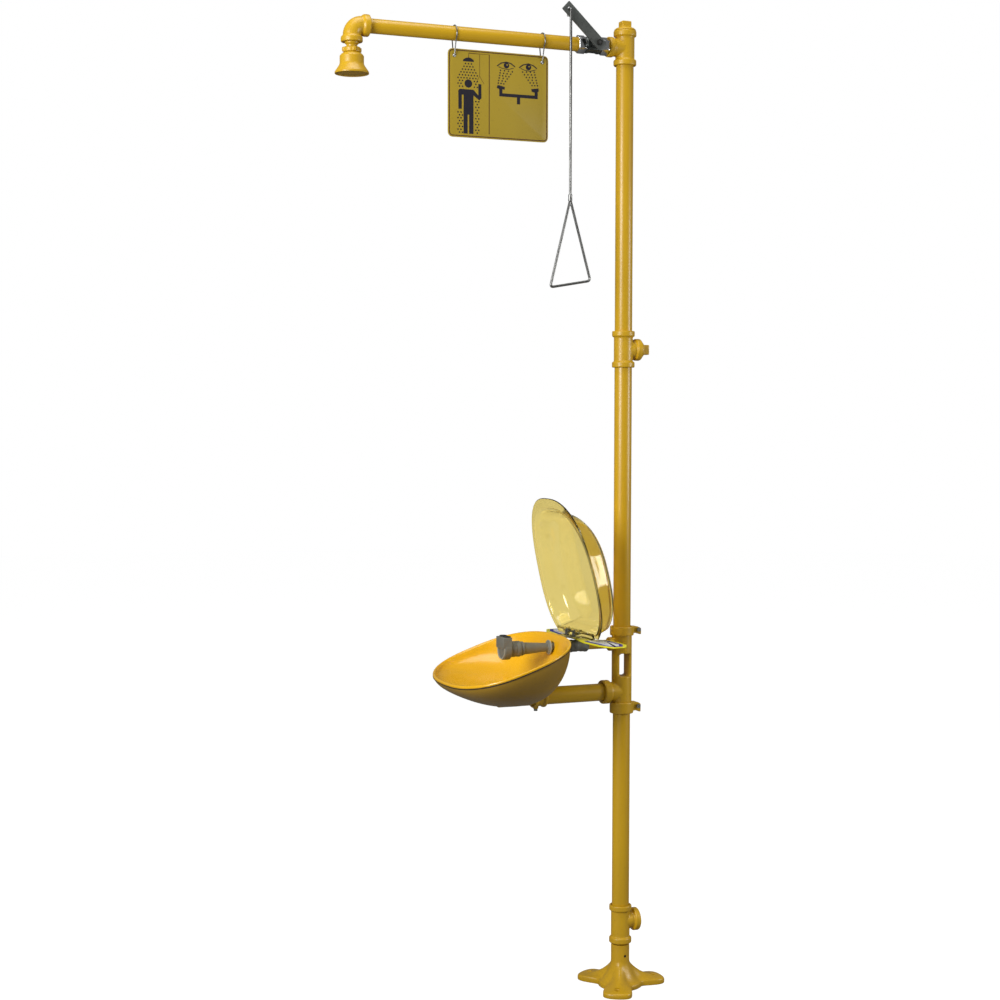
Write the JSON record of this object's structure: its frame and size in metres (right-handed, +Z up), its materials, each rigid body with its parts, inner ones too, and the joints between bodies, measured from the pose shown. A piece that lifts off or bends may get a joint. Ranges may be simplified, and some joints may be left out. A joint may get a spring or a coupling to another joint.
{
  "type": "drench shower and eyewash station",
  "caption": "Floor-mounted safety station: a standpipe with an overhead drench shower, pull rod and hanging sign, and an eyewash bowl with a push handle and a hinged dust cover.",
  "frame": {"origin": "on the floor, at the centre of the floor flange's underside, which is on the standpipe's axis", "axes": "+Z up along the standpipe; the shower arm and the bowl reach towards -X, where the user stands; the open waste outlet faces +X; the shower lever is on the -Y side"},
  "size_m": [0.842, 0.3946, 2.3777],
  "materials": {
    "yellow_paint": "semi-gloss yellow powder coat on steel pipe and cast iron",
    "bowl_plastic": "glossy moulded yellow plastic",
    "smoky_plastic": "clear smoky yellow moulded plastic",
    "sign_plastic": "printed plastic sheet",
    "grey_plastic": "moulded dark grey plastic",
    "handle_yellow": "bright yellow coating with a printed label",
    "dark_steel": "dark satin coated steel",
    "black_rubber": "matt rubber",
    "stainless": "satin stainless steel",
    "chrome": "polished chrome plate"
  },
  "bodies": {
    "station": {"floor_flange": "yellow_paint", "base_nipple": "yellow_paint", "waste_tee": "yellow_paint", "supply_tee": "yellow_paint", "top_tee": "yellow_paint", "supply_plug": "yellow_paint", "top_plug": "yellow_paint", "lower_pole": "yellow_paint", "middle_pole": "yellow_paint", "upper_pole": "yellow_paint", "eyewash_bracket": "yellow_paint", "lower_clamp_ring": "yellow_paint", "upper_clamp_ring": "yellow_paint", "drain_pipe": "yellow_paint", "drain_coupling": "yellow_paint", "drain_body": "yellow_paint", "supply_arm": "yellow_paint", "valve_nipple": "yellow_paint", "shower_arm": "yellow_paint", "shower_elbow": "yellow_paint", "head_bushing": "yellow_paint", "head_collar": "yellow_paint", "shower_bell": "yellow_paint", "spray_face": "yellow_paint", "bowl_basin": "bowl_plastic", "bowl_skirt": "bowl_plastic", "eyewash_valve_body": "grey_plastic", "spray_tube": "grey_plastic", "bulkhead_nut": "grey_plastic", "spray_head": "grey_plastic", "near_nozzle": "grey_plastic", "far_nozzle": "grey_plastic", "flange_set_screw": "dark_steel", "shower_packing_nut": "dark_steel", "drain_gasket": "black_rubber", "lower_clamp_bolt": "stainless", "lower_clamp_nut": "stainless", "upper_clamp_bolt": "stainless", "upper_clamp_nut": "stainless", "coupling_screw": "stainless", "drain_strainer": "stainless", "hinge_bracket": "stainless", "hinge_pin": "stainless", "shower_valve_body": "chrome"},
    "shower_lever_body": {"shower_lever": "dark_steel", "shower_valve_ball": "stainless", "shower_valve_stem": "stainless", "lever_nut": "stainless"},
    "pull_rod_body": {"pull_rod": "stainless", "triangle_handle": "stainless"},
    "cover_body": {"dust_cover": "smoky_plastic"},
    "push_handle_body": {"push_handle": "handle_yellow", "handle_nut": "stainless", "eyewash_valve_stem": "stainless", "eyewash_valve_ball": "stainless"},
    "sign_body": {"sign_plate": "sign_plastic", "left_sign_hook": "stainless", "right_sign_hook": "stainless"}
  },
  "joints": [
    {"name": "lever_hinge", "type": "hinge", "parent": "station", "child": "shower_lever_body", "pos_m": [-0.088, -0.039, 2.287], "axis": [0, -1, 0], "range_deg": [0, 90]},
    {"name": "rod_hook", "type": "hinge", "parent": "shower_lever_body", "child": "pull_rod_body", "pos_m": [-0.16516, -0.039, 2.35895], "axis": [0, -1, 0], "range_deg": [-90, 0]},
    {"name": "cover_hinge", "type": "hinge", "parent": "station", "child": "cover_body", "pos_m": [-0.135, 0, 0.884], "axis": [0, -1, 0], "range_deg": [0, 95]},
    {"name": "handle_swing", "type": "hinge", "parent": "station", "child": "push_handle_body", "pos_m": [-0.118, 0, 0.865], "axis": [0, 0, 1], "range_deg": [-22, 22]},
    {"name": "sign_swing", "type": "hinge", "parent": "station", "child": "sign_body", "pos_m": [-0.329, 0, 2.287], "axis": [1, 0, 0], "range_deg": [-30, 30]}
  ],
  "couplings": [
    {"joint": "rod_hook", "follows": "lever_hinge", "ratio": -1}
  ]
}
